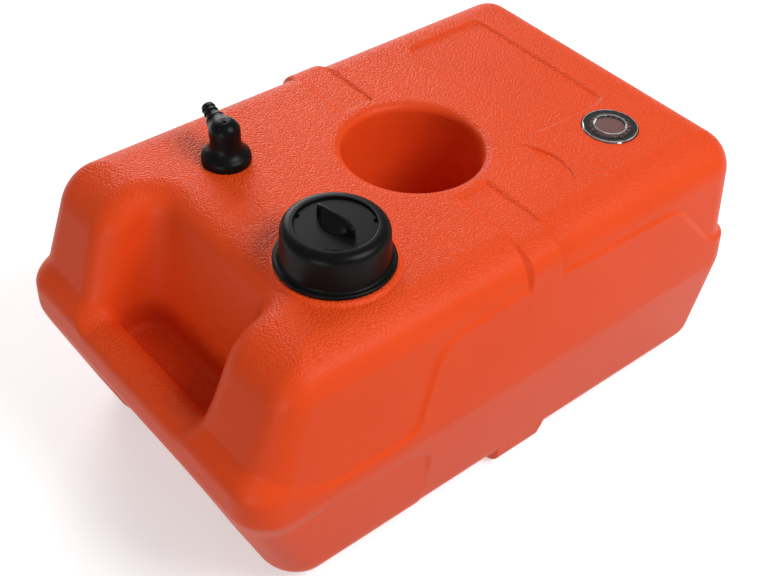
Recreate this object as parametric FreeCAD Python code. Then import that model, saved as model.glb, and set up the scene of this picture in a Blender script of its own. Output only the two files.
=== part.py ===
"""Portable 22 litre outboard fuel tank: a blow-moulded tank with its filler cap and vent, fuel pick-up and float gauge.

Millimetres, +Z up. The origin is on the face the tank stands on, below the middle of its length and width.
The carrying bar is at -X, the contents gauge near +X. Every piece is written as one STEP file in parts/.
A setback is how far a side of a plan outline lies inside the length and width, at the height its name gives.
"""

import FreeCAD, Part
import math
import os

V = FreeCAD.Vector
UP = V(0, 0, 1)
ALONG_X = V(1, 0, 0)
ALONG_Y = V(0, 1, 0)

# ---------------------------------------------------------------- driving dimensions: the moulded tank
length = 477.0
width = 300.0
height = 228.0
parting_height = 112.0
wall = 3.2
web_thickness = 4.0
web_root_step = 0.5

top_handle_setback = 40.0
top_gauge_setback = 10.6
top_side_setback = 8.4
top_corner = 28.5
top_edge_radius = 27.0

body_gauge_setback = 3.5
body_side_setback = 2.6
handle_corner = 28.0
gauge_corner = 26.5

bottom_handle_setback = 43.8
bottom_gauge_setback = 9.2
bottom_side_setback = 15.8
bottom_corner = 27.5
bottom_edge_radius = 26.0

# the raised belt: its plan at the foot and at its head, then the side view of its edges
belt_foot_handle_setback = 40.5
belt_foot_gauge_setback = 4.0
belt_foot_setback = 14.6
belt_head_handle_setback = 0.5
belt_head_gauge_setback = 2.8
belt_head_setback = 5.1
belt_head_margin = 6.0
belt_corner_swell = 2.0
belt_end_height = 140.0
belt_low_height = 121.0
belt_high_height = 196.0
belt_bar_rise = 10.0
belt_bar_inset = 8.0
belt_bar_round = 30.0
belt_dip_inset = 62.0
belt_dip_round = 60.0
belt_step_foot_x = -102.0
belt_step_foot_round = 16.0
belt_step_head_x = -78.0
belt_step_head_drop = 4.0
belt_step_head_round = 28.0
belt_crest_x = -20.0
belt_fall_head_inset = 82.0
belt_fall_head_round = 30.0
belt_fall_foot_inset = 34.0
belt_fall_foot_round = 40.0
panel_front_x = -76.0
panel_front_lean = 8.0
panel_front_drop = 16.0
panel_front_round = 24.0
belt_lower_drop = 4.0

# the hoop over the round well and the foot it stands on
hoop_half_width = 14.9
hoop_rise = 0.2
hoop_round = 24.0
hoop_foot_setback = 0.4
hoop_head_setback = 6.85
hoop_edge_radius = 2.0
hoop_foot_front = 14.3
hoop_foot_back = 34.2
hoop_foot_radius = 11.0
hoop_foot_rise = 0.4
hoop_foot_height = 60.0

well_x = 14.8
well_radius = 53.0
well_rim_radius = 7.0

# carrying bar and the two pockets that meet at its web
bar_width = 30.0
bar_rise = 28.0
bar_drop = 27.0
bar_round = 14.4
bar_inner_round = 10.8
web_margin = 4.0
pocket_half_width = 62.5
pocket_reach = 62.5
pocket_side_flare = 8.0
pocket_back_lean = 15.0
pocket_crease = 20.0
pocket_lip = 20.0
pocket_root_share = -0.04
pocket_mouth_share = 1.08
lower_pocket_flare = 5.0
lower_pocket_lean = 10.0
lower_pocket_lip = 12.0

# moulded recesses in the top
label_x = (98.4, 176.4)
label_y = (-42.9, 104.4)
label_corner = 9.0
label_depth = 1.2
badge_x = 82.6
badge_y = (-101.0, -50.5)
badge_width = 17.0
badge_bow = 7.0
badge_depth = 1.0

# seats for the fittings
cap_from_end = 126.8
cap_from_side = 82.1
cap_boss_radius = 43.5
cap_boss_rise = 2.0
neck_radius = 31.0
neck_bore = 25.5
neck_rise = 23.0
pickup_from_end = 133.2
pickup_from_side = 83.0
pickup_boss_radius = 15.5
pickup_boss_rise = 1.5
pickup_pad_depth = 8.2
gauge_from_end = 87.0
gauge_from_side = 79.0
gauge_seat_depth = 3.4
gauge_hole_radius = 16.0
gauge_pad_radius = 26.0
gauge_pad_depth = 9.0

# ---------------------------------------------------------------- driving dimensions: the fittings
fit_gap = 0.2
running_gap = 0.3
turning_fit = 0.1
weld_overlap = 0.5

cap_flange_radius = 41.7
cap_flange_thickness = 3.2
cap_flange_round = 1.3
cap_root_round = 1.6
cap_skirt_radius = 38.0
cap_shoulder_radius = 36.3
cap_rise = 33.0
cap_crown_radius = 7.0
cap_rim_round = 0.8
cap_plate = 2.8
gasket_thickness = 3.2
gasket_margin = 0.6
lid_radius = 27.3
lid_sink = 1.6
lid_thickness = 1.8
lid_slot_width = 15.0
lid_notch_width = 4.0
lid_slot_depth = 2.2
lid_slot_turn = -132.0
lid_notch_turn = 104.0

stem_radius = 3.8
stem_tip = 1.5
stem_seat = 1.0
hub_radius = 8.5
hub_height = 4.2
hub_taper = 1.5
wing_length = 35.0
wing_thickness = 5.5
wing_height = 8.0
wing_end_height = 4.2
wing_clearance = 0.4
wing_round = 1.6
vent_seal_radius = 7.2
vent_seal_thickness = 1.4
vent_travel = 2.0
retainer_radius = 9.0
retainer_thickness = 1.4

bell_base_radius = 18.4
bell_foot_height = 8.0
bell_shoulder_round = 3.0
bell_waist_radius = 12.0
bell_waist_rise = 15.2
bell_waist_round = 5.0
bell_head_radius = 11.0
bell_head_round = 8.0
bell_rise = 34.4
bell_skirt_wall = 2.3
collar_radius = 8.6
collar_bore = 5.4
collar_flange_radius = 14.5
collar_flange_thickness = 2.0
collar_depth = 14.0
pickup_seal_thickness = 1.5
pickup_seal_margin = 0.5
tail_tilt = 15.0
tail_turn = -8.0
tail_height = 22.0
tail_start = 1.0
tail_reach = 29.0
tail_shank_radius = 4.5
tail_boss_start = 6.0
tail_boss_end = 15.6
tail_boss_foot_radius = 11.0
tail_boss_head_radius = 7.6
tail_root_radius = 7.3
tail_root_length = 2.2
tail_root_taper = 0.9
barb_radius = 5.8
barb_step = 0.2
barb_neck_radius = 4.6
barb_count = 3
barb_lead_share = 0.25
tail_bore = 2.4
tube_clearance = 5.0
dip_tube_radius = 4.0
dip_tube_bore = 3.0
strainer_radius = 7.0
strainer_height = 16.0
strainer_wall = 1.0
strainer_neck = 4.0
strainer_round = 1.0
strainer_floor_gap = 2.0
strainer_tube_gap = 3.0

gauge_radius = 21.4
gauge_gasket_thickness = 1.2
gauge_flange_thickness = 1.4
gauge_flange_lap = 1.0
gauge_barrel_wall = 1.5
gauge_barrel_depth = 16.0
gauge_end_plate = 2.5
bezel_inner_radius = 16.0
bezel_thickness = 1.5
bezel_round = 0.8
lens_wall = 1.2
lens_rise = 2.0
lens_round = 1.2
lens_ring_radius = 13.6
lens_ring_width = 1.6
lens_ring_rise = 0.6
dial_radius = 12.0
dial_thickness = 0.8
dial_depth = 1.6
strip_width = 5.2
strip_thickness = 0.8
strip_twist = 340.0
strip_sections = 25
strip_end_gap = 2.0
shaft_radius = 1.2
shaft_collar_radius = 2.6
shaft_collar_height = 1.8
pin_radius = 1.0
rod_radius = 1.5
rod_spacing = 11.0
rod_plate_seat = 1.5
rod_foot_seat = 2.0
foot_radius = 14.0
foot_thickness = 3.0
foot_height = 7.0
float_radius = 15.0
float_height = 30.0
float_bore = 4.6
float_round = 2.0
float_foot_gap = 2.0
follower_radius = 8.0
follower_thickness = 1.5
follower_slot_gap = 0.8

# ---------------------------------------------------------------- values that follow from them
half_length = length / 2
half_width = width / 2
pocket_back = -half_length + pocket_reach
pocket_span = pocket_half_width + pocket_lip
half_web = web_thickness / 2
cap_x = -half_length + cap_from_end
cap_y = -half_width + cap_from_side
pickup_x = -half_length + pickup_from_end
pickup_y = half_width - pickup_from_side
gauge_x = half_length - gauge_from_end
gauge_y = -half_width + gauge_from_side
cap_base = height + cap_boss_rise + running_gap
cap_top = height + cap_rise
lid_top = cap_top - lid_sink
plate_top = lid_top - lid_thickness
plate_under = plate_top - cap_plate
knob_base = lid_top + vent_seal_thickness + fit_gap
retainer_top = plate_under - vent_travel - running_gap
bell_base = height + fit_gap
collar_base = height + pickup_boss_rise + pickup_seal_thickness
rod_room = rod_radius + running_gap
slack = length
sliver = 0.01


# ---------------------------------------------------------------- helpers
def at(x, y, z):
    return V(x, y, z)


def edges_where(shape, test):
    return [edge for edge in shape.Edges if test(edge.BoundBox)]


def flat_edges(shape, z):
    return edges_where(shape, lambda box: abs(box.ZMin - z) < sliver and abs(box.ZMax - z) < sliver)


def outline(z, handle_in, gauge_in, side_in, handle_round, gauge_round):
    """Plan outline of the tank at height z: set in on each side, with rounded corners."""
    x0 = -half_length + handle_in
    x1 = half_length - gauge_in
    y = half_width - side_in
    corners = [
        (x1 - gauge_round, y - gauge_round, gauge_round, 0),
        (x0 + handle_round, y - handle_round, handle_round, 90),
        (x0 + handle_round, handle_round - y, handle_round, 180),
        (x1 - gauge_round, gauge_round - y, gauge_round, 270),
    ]
    arcs = []
    for cx, cy, radius, start in corners:
        turns = [math.radians(start + step) for step in (0, 45, 90)]
        arcs.append([at(cx + radius * math.cos(t), cy + radius * math.sin(t), z) for t in turns])
    edges = []
    for i, arc in enumerate(arcs):
        edges.append(Part.Arc(*arc).toShape())
        edges.append(Part.makeLine(arc[2], arcs[(i + 1) % 4][0]))
    return Part.Wire(edges)


def loft(*wires):
    return Part.makeLoft(list(wires), True, True)


def drafted_block(upper, lower):
    """Solid with plane faces between two level rings of four corners."""
    faces = [Part.Face(Part.makePolygon(corners + corners[:1])) for corners in (upper, lower)]
    for i in range(4):
        j = (i + 1) % 4
        faces.append(Part.Face(Part.makePolygon([upper[i], upper[j], lower[j], lower[i], upper[i]])))
    shell = Part.makeShell(faces)
    shell.sewShape()
    return Part.makeSolid(shell)


def rounded_wire(points, to_vector):
    """Closed wire through (u, v, radius) points, each corner rounded by its radius."""
    ends = []
    count = len(points)
    for i, (u, v, radius) in enumerate(points):
        before = points[i - 1]
        after = points[(i + 1) % count]
        a = V(before[0] - u, before[1] - v, 0).normalize()
        b = V(after[0] - u, after[1] - v, 0).normalize()
        corner = V(u, v, 0)
        if radius == 0:
            ends.append((corner, None, corner))
            continue
        half = a.getAngle(b) / 2
        reach = radius / math.tan(half)
        inward = (a + b).normalize()
        centre = corner + inward * (radius / math.sin(half))
        ends.append((corner + a * reach, centre - inward * radius, corner + b * reach))
    edges = []
    for i, (start, middle, end) in enumerate(ends):
        if middle is not None:
            edges.append(Part.Arc(to_vector(start), to_vector(middle), to_vector(end)).toShape())
        edges.append(Part.makeLine(to_vector(end), to_vector(ends[(i + 1) % count][0])))
    return Part.Wire(edges)


def side_prism(points):
    """Solid that runs across the tank, from an outline in x and z."""
    wire = rounded_wire(points, lambda p: at(p.x, -slack, p.y))
    return Part.Face(wire).extrude(ALONG_Y * (2 * slack))


def plan_prism(points, z0, z1):
    wire = rounded_wire(points, lambda p: at(p.x, p.y, z0))
    return Part.Face(wire).extrude(UP * (z1 - z0))


def turned(points, x, y):
    """Solid of revolution about the vertical through x, y, from (radius, z, corner rounding) points."""
    wire = rounded_wire(points, lambda p: at(p.x, 0, p.y))
    solid = Part.Face(wire).revolve(V(0, 0, 0), UP, 360)
    solid.translate(at(x, y, 0))
    return solid


def disc(radius, z0, z1, x, y):
    return Part.makeCylinder(radius, z1 - z0, at(x, y, z0))


def drilled(shape, radius, z0, x, y):
    """The shape with a hole of this radius from z0 up through everything above it."""
    return shape.cut(disc(radius, z0, height + slack, x, y))


def ring(outer, inner, z0, z1, x, y):
    return drilled(disc(outer, z0, z1, x, y), inner, z0 - wall, x, y)


def slab(x0, x1, z0, z1):
    return Part.makeBox(x1 - x0, 2 * slack, z1 - z0, at(x0, -slack, z0))


# ---------------------------------------------------------------- tank: the moulded form
def upper_half(inset=0.0):
    low = outline(parting_height, inset, body_gauge_setback + inset, body_side_setback + inset,
                  handle_corner - inset, gauge_corner - inset)
    high = outline(height - inset, top_handle_setback + inset, top_gauge_setback + inset,
                   top_side_setback + inset, top_corner - inset, top_corner - inset)
    block = loft(low, high)
    return block.makeFillet(top_edge_radius - inset, flat_edges(block, height - inset))


def lower_half(inset=0.0):
    low = outline(inset, bottom_handle_setback + inset, bottom_gauge_setback + inset,
                  bottom_side_setback + inset, bottom_corner - inset, bottom_corner - inset)
    high = outline(parting_height, inset, body_gauge_setback + inset, body_side_setback + inset,
                   handle_corner - inset, gauge_corner - inset)
    block = loft(low, high)
    return block.makeFillet(bottom_edge_radius - inset, flat_edges(block, inset))


def pocket(open_height, flare, lean, grow=0.0):
    """Hand pocket: a drafted block from the web to the open face, with a rounded back."""
    rise = open_height - parting_height
    rings = []
    for share in (pocket_root_share, pocket_mouth_share):
        z = parting_height + rise * share
        back = pocket_back + lean * share + grow
        y = pocket_half_width + flare * share + grow
        far = -half_length - bar_width
        rings.append([at(far, -y, z), at(back, -y, z), at(back, y, z), at(far, y, z)])
    rings.sort(key=lambda corners: -corners[0].z)
    block = drafted_block(*rings)
    creases = edges_where(block, lambda box: box.ZLength > abs(rise) and box.XMin > -half_length)
    return block.makeFillet(pocket_crease + grow, creases)


def upper_pocket(grow=0.0):
    return pocket(height, pocket_side_flare, pocket_back_lean, grow)


def lower_pocket(grow=0.0):
    return pocket(0.0, lower_pocket_flare, lower_pocket_lean, grow)


def lip_edges(half, open_height, inset):
    """The one chain of edges round the mouth of a pocket: up the end face, over the top and back."""
    mouth = pocket_half_width + pocket_side_flare + inset + turning_fit
    back = pocket_back + pocket_back_lean + inset + turning_fit
    end = -half_length + inset + fit_gap

    def on_lip(box):
        inside = max(abs(box.YMin), abs(box.YMax)) < mouth and box.XMax < back
        reaches = abs(box.ZMin - open_height) < fit_gap or abs(box.ZMax - open_height) < fit_gap
        end_face = box.XMin < end and box.ZLength > parting_height / 2
        crease = box.ZLength > bar_width and not end_face
        return inside and (end_face or reaches) and not crease

    return edges_where(half, on_lip)


def pocketed_upper(inset=0.0):
    half = upper_half(inset).cut(upper_pocket(inset))
    return half.makeFillet(pocket_lip - inset, lip_edges(half, height - inset, inset))


def pocketed_lower(inset=0.0):
    half = lower_half(inset).cut(lower_pocket(inset))
    return half.makeFillet(lower_pocket_lip - inset, lip_edges(half, inset, inset))


def belt_region():
    """Side view of the raised belt: low at the bar, up in an S to the side panel, down again at the gauge end."""
    beyond = half_length + 2 * bar_width
    below = -2 * bar_width
    step_head = belt_high_height - belt_step_head_drop
    return [
        (-beyond, belt_end_height + belt_bar_rise, 0),
        (-half_length + belt_bar_inset, belt_end_height, belt_bar_round),
        (-half_length + belt_dip_inset, belt_low_height, belt_dip_round),
        (belt_step_foot_x, belt_low_height, belt_step_foot_round),
        (belt_step_head_x, step_head, belt_step_head_round),
        (belt_crest_x, belt_high_height, 0),
        (half_length - belt_fall_head_inset, step_head, belt_fall_head_round),
        (half_length - belt_fall_foot_inset, belt_end_height, belt_fall_foot_round),
        (beyond, belt_low_height, 0),
        (beyond, below, 0),
        (panel_front_x, below, 0),
        (panel_front_x - panel_front_lean, parting_height - panel_front_drop, panel_front_round),
        (-beyond, parting_height - belt_lower_drop, 0),
    ]


def belt():
    """Belt and side panels: a slightly larger shell of the same form, kept inside the belt's side view."""
    handle_round = handle_corner + belt_corner_swell
    gauge_round = gauge_corner + belt_corner_swell
    low = outline(0, belt_foot_handle_setback, belt_foot_gauge_setback, belt_foot_setback,
                  bottom_corner, bottom_corner)
    middle = outline(parting_height, 0, 0, 0, handle_round, gauge_round)
    high = outline(belt_high_height + belt_head_margin, belt_head_handle_setback, belt_head_gauge_setback,
                   belt_head_setback, handle_round, gauge_round)
    skirt = loft(low, middle)
    skirt = skirt.makeFillet(bottom_edge_radius, flat_edges(skirt, 0))
    shell = skirt.fuse(loft(middle, high))
    return shell.common(side_prism(belt_region()))


def pocket_mouth():
    """Plan of the gap between the belt's ends: the pocket's width, flared on each side to the end face."""
    beyond = -half_length - bar_width
    outer = pocket_span + weld_overlap
    inner = pocket_half_width
    back = pocket_back + bar_width
    points = [
        (beyond, -outer, 0),
        (-half_length, -outer, 0),
        (-half_length, -inner, pocket_lip),
        (back, -inner, 0),
        (back, inner, 0),
        (-half_length, inner, pocket_lip),
        (-half_length, outer, 0),
        (beyond, outer, 0),
    ]
    return plan_prism(points, -wall, height + wall)


def hoop():
    low = outline(parting_height, 0, 0, hoop_foot_setback, handle_corner, gauge_corner)
    high = outline(height + hoop_rise, top_handle_setback, top_gauge_setback, hoop_head_setback,
                   top_corner, top_corner)
    between = slab(well_x - hoop_half_width, well_x + hoop_half_width, parting_height, slack)
    band = loft(low, high).common(between)
    rims = edges_where(band, lambda box: box.ZLength < sliver and box.YLength < sliver and box.ZMin > height)
    band = band.makeFillet(hoop_round, rims)
    above = parting_height + web_thickness
    sides = edges_where(band, lambda box: box.XLength < sliver and box.ZMax > above)
    return band.makeFillet(hoop_edge_radius, sides)


def hoop_foot():
    """The lower edge under the hoop's end, less rounded than the rest of the tank's lower edge."""
    low = outline(0, bottom_handle_setback, bottom_gauge_setback, belt_foot_setback - hoop_foot_rise,
                  bottom_corner, bottom_corner)
    high = outline(parting_height, 0, 0, 0, handle_corner, gauge_corner)
    band = loft(low, high)
    band = band.common(slab(well_x - hoop_foot_front, well_x + hoop_foot_back, -wall, hoop_foot_height))
    rims = edges_where(band, lambda box: box.ZMax < sliver and box.YLength < sliver)
    return band.makeFillet(hoop_foot_radius, rims)


def bar_section(inset, corner):
    """Stadium section of the bar, open to the outside of the end face, between the ends of the mouth."""
    x0 = -half_length - bar_width
    x1 = -half_length + bar_width - inset
    z0 = parting_height - bar_drop + inset
    z1 = parting_height + bar_rise - inset
    section = side_prism([(x0, z0, 0), (x1, z0, corner), (x1, z1, corner), (x0, z1, 0)])
    reach = Part.makeBox(slack, 2 * pocket_span, slack, at(-half_length - slack / 2, -pocket_span, z0 - slack / 2))
    return section.common(reach)


def bar(solid_form):
    """Carrying bar: the end of the form itself, rounded over behind by a stadium section."""
    return solid_form.common(bar_section(0.0, bar_round))


def web():
    y = pocket_half_width + web_margin
    x0 = -half_length + bar_width - web_margin
    x1 = pocket_back + web_margin
    return Part.makeBox(x1 - x0, 2 * y, web_thickness, at(x0, -y, parting_height - half_web))


def web_root():
    """Thicker wall round the web, where the walls of the two pockets meet inside the tank."""
    y = pocket_half_width + wall + web_root_step
    back = pocket_back + wall + web_root_step
    front = -half_length - bar_width
    crease = pocket_crease + wall
    points = [(front, -y, 0), (back, -y, crease), (back, y, crease), (front, y, 0)]
    return plan_prism(points, parting_height - half_web / 2, parting_height + half_web / 2)


def well_cut(z0, z1):
    """Round well from z0, at the web, to the open face at z1, with a rounded rim there."""
    sign = 1 if z1 > z0 else -1
    rim = well_rim_radius
    outer = well_radius + rim
    side_end = z1 - sign * rim
    past = z1 + sign * 2 * rim
    k = rim * (1 - math.sqrt(0.5))
    wire = Part.Wire([
        Part.makeLine(at(0, 0, z0), at(well_radius, 0, z0)),
        Part.makeLine(at(well_radius, 0, z0), at(well_radius, 0, side_end)),
        Part.Arc(at(well_radius, 0, side_end), at(well_radius + k, 0, z1 - sign * k), at(outer, 0, z1)).toShape(),
        Part.makeLine(at(outer, 0, z1), at(outer, 0, past)),
        Part.makeLine(at(outer, 0, past), at(0, 0, past)),
        Part.makeLine(at(0, 0, past), at(0, 0, z0)),
    ])
    solid = Part.Face(wire).revolve(V(0, 0, 0), UP, 360)
    solid.translate(at(well_x, 0, 0))
    return solid


def label_recess():
    x0, x1 = label_x
    y0, y1 = label_y
    r = label_corner
    return plan_prism([(x0, y0, r), (x1, y0, r), (x1, y1, r), (x0, y1, r)], height - label_depth, height + wall)


def badge_recess():
    y0, y1 = badge_y
    x1 = badge_x + badge_width
    z = height - badge_depth
    wire = Part.Wire([
        Part.makeLine(at(badge_x, y1, z), at(badge_x, y0, z)),
        Part.makeLine(at(badge_x, y0, z), at(x1, y0, z)),
        Part.Arc(at(x1, y0, z), at(x1 + badge_bow, (y0 + y1) / 2, z), at(x1, y1, z)).toShape(),
        Part.makeLine(at(x1, y1, z), at(badge_x, y1, z)),
    ])
    return Part.Face(wire).extrude(UP * wall)


def cavity():
    """Space for the fuel: the same form, one wall smaller, clear of the well and the pockets."""
    form = upper_half(wall).fuse(lower_half(wall))
    well = disc(well_radius + wall, -wall, height + wall, well_x, 0)
    space = pocketed_upper(wall).fuse(pocketed_lower(wall)).cut(well).cut(web_root())
    return space.fuse(form.common(bar_section(wall, bar_inner_round)))


def moulded_form():
    """The outside of the tank, solid, with its pockets, belt, bar, web, hoop, wells and recesses."""
    belt_form = belt()
    plain = upper_half().fuse(lower_half()).fuse(belt_form)
    open_belt = belt_form.cut([pocket_mouth(), upper_pocket(), lower_pocket()])
    form = pocketed_upper().fuse(pocketed_lower()).fuse(open_belt)
    form = form.fuse(bar(plain)).fuse(web()).fuse(hoop()).fuse(hoop_foot())
    form = form.cut(well_cut(parting_height + half_web, height))
    form = form.cut(well_cut(parting_height - half_web, 0))
    return form.cut(label_recess()).cut(badge_recess())


def tank_shell():
    shell = moulded_form().cut(cavity())
    inner_top = height - wall / 2
    pads = [
        disc(well_radius + wall / 2, parting_height - half_web, parting_height + half_web, well_x, 0),
        disc(cap_boss_radius, inner_top, height + cap_boss_rise, cap_x, cap_y),
        disc(neck_radius, height, height + neck_rise, cap_x, cap_y),
        disc(pickup_boss_radius, height - pickup_pad_depth, height + pickup_boss_rise, pickup_x, pickup_y),
        disc(gauge_pad_radius, height - gauge_pad_depth, inner_top, gauge_x, gauge_y),
    ]
    for pad in pads:
        shell = shell.fuse(pad)
    under = height - slack / 8
    shell = drilled(shell, neck_bore, under, cap_x, cap_y)
    shell = drilled(shell, collar_radius + fit_gap / 4, under, pickup_x, pickup_y)
    shell = drilled(shell, gauge_hole_radius, under, gauge_x, gauge_y)
    return drilled(shell, gauge_radius + running_gap, height - gauge_seat_depth, gauge_x, gauge_y)


# ---------------------------------------------------------------- filler cap and its vent
def filler_cap_shell():
    """Screw cap: flange, tapered skirt, round shoulder and a sunk plate for the lid."""
    bore = neck_radius + running_gap
    stem_hole = stem_radius + turning_fit
    lid_hole = lid_radius + fit_gap
    flange_top = cap_base + cap_flange_thickness
    return turned([
        (bore, cap_base, 0),
        (cap_flange_radius, cap_base, cap_flange_round),
        (cap_flange_radius, flange_top, cap_flange_round),
        (cap_skirt_radius, flange_top, cap_root_round),
        (cap_shoulder_radius, cap_top, cap_crown_radius),
        (lid_hole, cap_top, cap_rim_round),
        (lid_hole, plate_top, 0),
        (stem_hole, plate_top, 0),
        (stem_hole, plate_under, 0),
        (bore, plate_under, 0),
    ], cap_x, cap_y)


def lid_slots():
    """Claw slots at the edge of the lid: one wide one and a narrow one on each side of it."""
    tools = []
    for turn, slot in ((0, lid_slot_width), (lid_notch_turn, lid_notch_width), (-lid_notch_turn, lid_notch_width)):
        box = Part.makeBox(2 * lid_slot_depth, slot, 2 * lid_thickness,
                           at(lid_radius - lid_slot_depth, -slot / 2, plate_top - lid_thickness / 2))
        box.rotate(V(0, 0, 0), UP, lid_slot_turn + turn)
        box.translate(at(cap_x, cap_y, 0))
        tools.append(box)
    return tools


def filler_cap_lid():
    lid = ring(lid_radius, stem_radius + turning_fit, plate_top, lid_top, cap_x, cap_y)
    return lid.cut(lid_slots())


def filler_cap_gasket():
    z0 = height + neck_rise + fit_gap
    return ring(neck_radius - gasket_margin, neck_bore, z0, z0 + gasket_thickness, cap_x, cap_y)


def vent_knob():
    """Wing knob: a low hub with an arched wing across the tank."""
    z0 = knob_base
    hub_top = z0 + hub_height
    head_radius = hub_radius - hub_taper
    hub = turned([(0, z0, 0), (hub_radius, z0, 0), (head_radius, hub_top, hub_taper), (0, hub_top, 0)], cap_x, cap_y)
    half = wing_length / 2
    foot = z0 + wing_clearance
    end = z0 + wing_end_height
    wire = Part.Wire([
        Part.makeLine(at(0, -half, foot), at(0, half, foot)),
        Part.makeLine(at(0, half, foot), at(0, half, end)),
        Part.Arc(at(0, half, end), at(0, 0, z0 + wing_height), at(0, -half, end)).toShape(),
        Part.makeLine(at(0, -half, end), at(0, -half, foot)),
    ])
    wing = Part.Face(wire).extrude(ALONG_X * wing_thickness)
    wing.translate(at(cap_x - wing_thickness / 2, cap_y, 0))
    wing = wing.makeFillet(wing_round, edges_where(wing, lambda box: box.XLength < sliver and box.ZMax > foot + sliver))
    knob = hub.fuse(wing)
    return knob.cut(disc(stem_radius, z0 - wing_clearance, hub_top - stem_seat, cap_x, cap_y))


def vent_seal():
    z0 = lid_top + fit_gap / 2
    return ring(vent_seal_radius, stem_radius + fit_gap, z0, z0 + vent_seal_thickness, cap_x, cap_y)


def vent_stem():
    foot = retainer_top - retainer_thickness - stem_tip
    return disc(stem_radius, foot, knob_base + hub_height - stem_seat, cap_x, cap_y)


def vent_retainer():
    return ring(retainer_radius, stem_radius, retainer_top - retainer_thickness, retainer_top, cap_x, cap_y)


# ---------------------------------------------------------------- fuel pick-up
def tail_frame(shape):
    """Carries a piece built along +Z from the bell's axis to the raised direction of the hose tail."""
    shape.rotate(V(0, 0, 0), ALONG_X, tail_tilt - 90)
    shape.rotate(V(0, 0, 0), UP, tail_turn)
    shape.translate(at(pickup_x, pickup_y, height + tail_height))
    return shape


def dip_tube_top():
    return height + tail_height - tube_clearance


def tail_boss():
    """Tapered boss that carries the hose tail out of the bell's head."""
    boss_length = tail_boss_end - tail_boss_start
    cone = Part.makeCone(tail_boss_foot_radius, tail_boss_head_radius, boss_length, at(0, 0, tail_boss_start))
    return tail_frame(cone)


def pickup_elbow():
    """Bell-shaped elbow: an upright foot over the collar, a waist and a round head, bored for the pipe and the tail."""
    z0 = bell_base
    skirt = bell_base_radius - bell_skirt_wall
    roof = collar_base + collar_flange_thickness + running_gap
    head = height + bell_rise
    bell = turned([
        (skirt, z0, 0),
        (bell_base_radius, z0, 0),
        (bell_base_radius, height + bell_foot_height, bell_shoulder_round),
        (bell_waist_radius, height + bell_waist_rise, bell_waist_round),
        (bell_head_radius, head, bell_head_round),
        (0, head, 0),
        (0, roof, 0),
        (skirt, roof, 0),
    ], pickup_x, pickup_y)
    bell = bell.fuse(tail_boss())
    bell = bell.cut(disc(dip_tube_radius, z0, dip_tube_top(), pickup_x, pickup_y))
    bell = bell.cut(disc(dip_tube_bore, z0, height + tail_height, pickup_x, pickup_y))
    return bell.cut(tail_frame(Part.makeCylinder(tail_shank_radius, tail_reach)))


def hose_tail():
    """Ribbed hose tail: a shank held in the bell, a tapered root and barbs of decreasing size, bored through."""
    root = tail_boss_end + turning_fit
    first = root + tail_root_length
    pitch = (tail_reach - first) / barb_count
    points = [(tail_bore, tail_start), (tail_shank_radius, tail_start), (tail_shank_radius, root),
              (tail_root_radius, root), (tail_root_radius - tail_root_taper, first)]
    for i in range(barb_count):
        foot = first + i * pitch
        points.append((barb_neck_radius, foot))
        points.append((barb_radius - barb_step * i, foot + pitch * barb_lead_share))
    points.append((barb_neck_radius, tail_reach))
    points.append((tail_bore, tail_reach))
    tail = turned([(r, z, 0) for r, z in points], 0, 0)
    return tail_frame(tail)


def pickup_seal():
    z0 = height + pickup_boss_rise
    outer = pickup_boss_radius - pickup_seal_margin
    return ring(outer, collar_radius + fit_gap, z0, collar_base, pickup_x, pickup_y)


def pickup_collar():
    foot = collar_base - collar_depth
    collar = disc(collar_flange_radius, collar_base, collar_base + collar_flange_thickness, pickup_x, pickup_y)
    collar = collar.fuse(disc(collar_radius, foot, collar_base + weld_overlap, pickup_x, pickup_y))
    return drilled(collar, collar_bore, foot - wall, pickup_x, pickup_y)


def strainer_bottom():
    return wall + strainer_floor_gap


def dip_tube():
    z0 = strainer_bottom() + strainer_tube_gap
    return ring(dip_tube_radius, dip_tube_bore, z0, dip_tube_top(), pickup_x, pickup_y)


def dip_strainer():
    z0 = strainer_bottom()
    z1 = z0 + strainer_height
    inner = strainer_radius - strainer_wall
    return turned([
        (0, z0, 0),
        (strainer_radius, z0, strainer_round),
        (strainer_radius, z1, 0),
        (dip_tube_radius, z1, 0),
        (dip_tube_radius, z1 - strainer_neck, 0),
        (inner, z1 - strainer_neck, 0),
        (inner, z0 + strainer_wall, 0),
        (0, z0 + strainer_wall, 0),
    ], pickup_x, pickup_y)


# ---------------------------------------------------------------- contents gauge
def gauge_levels():
    """Heights of the stack on the gauge seat: gasket foot, flange foot, flange top."""
    seat = height - gauge_seat_depth
    flange = seat + gauge_gasket_thickness
    return seat, flange, flange + gauge_flange_thickness


def barrel_radius():
    return gauge_hole_radius - running_gap


def gauge_gasket():
    seat, flange, _ = gauge_levels()
    return ring(gauge_radius, gauge_hole_radius + fit_gap, seat, flange, gauge_x, gauge_y)


def gauge_housing():
    """Flanged barrel through the tank top, with an end plate that carries the guide rods and the strip's shaft."""
    _, flange, flange_top = gauge_levels()
    low = height - gauge_barrel_depth
    body = ring(gauge_radius, bezel_inner_radius - gauge_flange_lap, flange, flange_top, gauge_x, gauge_y)
    barrel = ring(barrel_radius(), barrel_radius() - gauge_barrel_wall, low, flange + weld_overlap, gauge_x, gauge_y)
    plate = disc(barrel_radius(), low, low + gauge_end_plate, gauge_x, gauge_y)
    body = body.fuse(barrel).fuse(plate)
    body = drilled(body, shaft_radius + turning_fit, low - wall, gauge_x, gauge_y)
    for x in rod_places():
        body = body.cut(disc(rod_radius, low - wall, low + rod_plate_seat, x, gauge_y))
    return body


def rod_places():
    return (gauge_x - rod_spacing, gauge_x + rod_spacing)


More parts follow.
